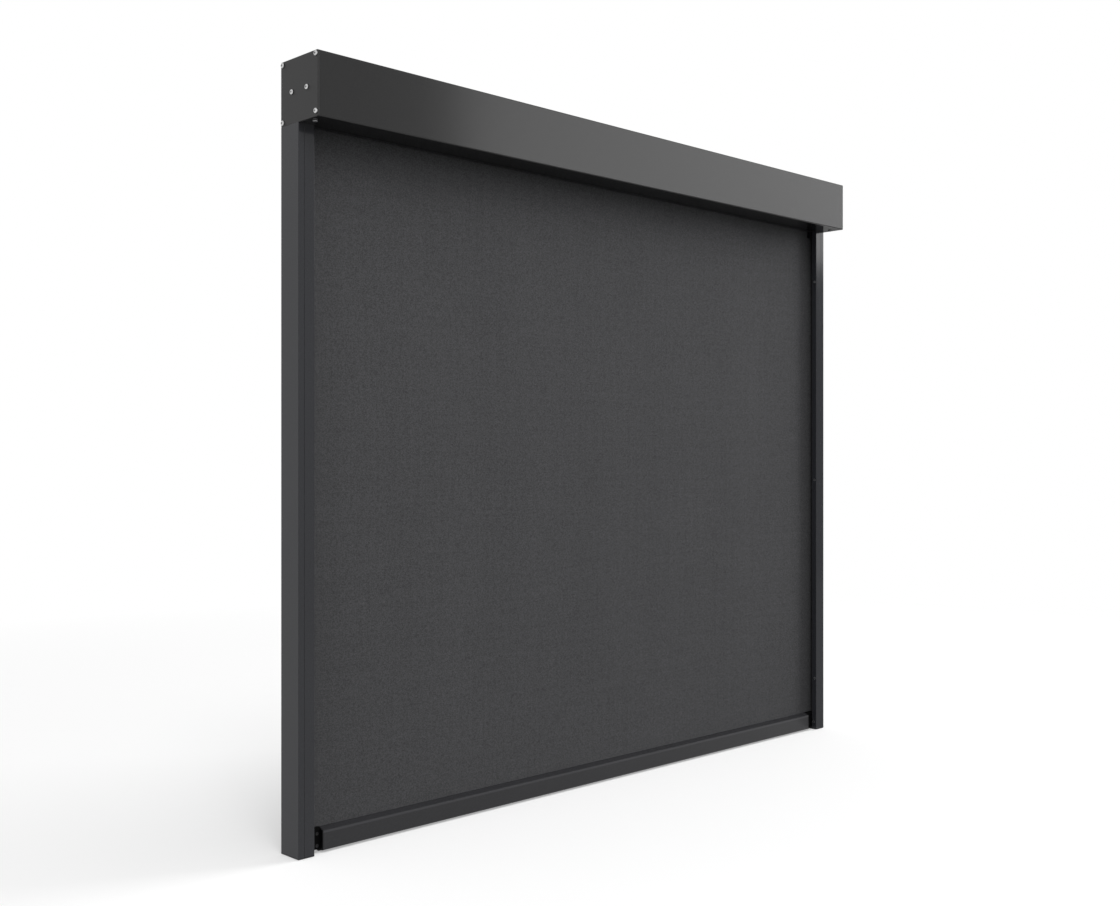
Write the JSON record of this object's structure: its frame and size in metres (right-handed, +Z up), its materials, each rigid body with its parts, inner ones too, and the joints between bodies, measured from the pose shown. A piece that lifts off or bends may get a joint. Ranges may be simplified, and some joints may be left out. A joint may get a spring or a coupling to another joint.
{
  "type": "zip screen blind",
  "caption": "Zip screen blind: a fabric screen with zipped edges winds from a square headbox between two side guides, with a weighted bottom bar.",
  "frame": {"origin": "middle of the headbox's back face, on the wall plane and level with the roller's axis", "axes": "+X along the headbox to the right as seen from the front, +Y into the wall, +Z up"},
  "size_m": [1.4048, 0.1, 1.225],
  "materials": {
    "box_paint": "satin",
    "cap_paint": "satin",
    "guide_paint": "satin",
    "bar_paint": "satin",
    "screw_steel": "satin",
    "dark_screw_steel": "satin",
    "zinc_steel": "satin",
    "bearing_steel": "polished",
    "tube_aluminium": "satin",
    "motor_casing": "satin",
    "black_plastic": "matte",
    "glider_plastic": "matte",
    "stop_rubber": "matte",
    "seal_rubber": "matte",
    "keder_plastic": "matte",
    "screen_cloth": "matte",
    "zip_tape": "matte"
  },
  "bodies": {
    "root": {"headbox_rear_profile": "box_paint", "headbox_front_cover": "box_paint", "end_cap_left": "cap_paint", "end_cap_right": "cap_paint", "corner_screws": "screw_steel", "bracket_screws": "screw_steel", "cover_lock_screws": "dark_screw_steel", "cable_grommet": "seal_rubber", "roller_bracket_left": "zinc_steel", "roller_bracket_right": "zinc_steel", "motor_head": "black_plastic", "motor_body": "motor_casing", "idler_pin": "zinc_steel", "bearing_inner_ring": "bearing_steel", "fabric_lead_in": "screen_cloth", "zip_lead_ins": "zip_tape", "screen_fabric": "screen_cloth", "zip_chain_left": "zip_tape", "zip_chain_right": "zip_tape", "guide_base_left": "guide_paint", "guide_base_right": "guide_paint", "guide_cover_left": "guide_paint", "guide_cover_right": "guide_paint", "zip_track_left": "black_plastic", "zip_track_right": "black_plastic", "track_cushions_left": "seal_rubber", "track_cushions_right": "seal_rubber", "inlet_funnel_left": "black_plastic", "inlet_funnel_right": "black_plastic", "guide_plug_left": "black_plastic", "guide_plug_right": "black_plastic", "guide_stop_left": "stop_rubber", "guide_stop_right": "stop_rubber", "guide_cover_screws": "dark_screw_steel", "guide_plug_screws": "dark_screw_steel"},
    "bottom_bar": {"bar_profile": "bar_paint", "bar_weight": "zinc_steel", "bar_hem": "keder_plastic", "bottom_seal": "seal_rubber", "bar_end_cap_left": "black_plastic", "bar_end_cap_right": "black_plastic", "bar_glider_left": "glider_plastic", "bar_glider_right": "glider_plastic", "glider_screws": "dark_screw_steel"},
    "roller": {"motor_shaft": "zinc_steel", "drive_wheel": "black_plastic", "crown_ring": "black_plastic", "roller_tube": "tube_aluminium", "tube_keder": "keder_plastic", "wound_fabric": "screen_cloth", "wound_zips": "zip_tape", "idler_plug": "black_plastic", "bearing_outer_ring": "bearing_steel", "bearing_balls": "bearing_steel"}
  },
  "joints": [
    {"name": "bar_lift", "type": "slide", "parent": "root", "child": "bottom_bar", "axis": [0, 0, 1], "range_m": [0, 1.0705], "deforming": ["screen_fabric", "zip_chain_left", "zip_chain_right"]},
    {"name": "roller_spin", "type": "hinge", "parent": "root", "child": "roller", "pos_m": [0, -0.05, 0], "axis": [1, 0, 0], "range_deg": [0, 1945]}
  ],
  "couplings": [
    {"joint": "roller_spin", "follows": "bar_lift", "rad_per_m": 31.696}
  ]
}
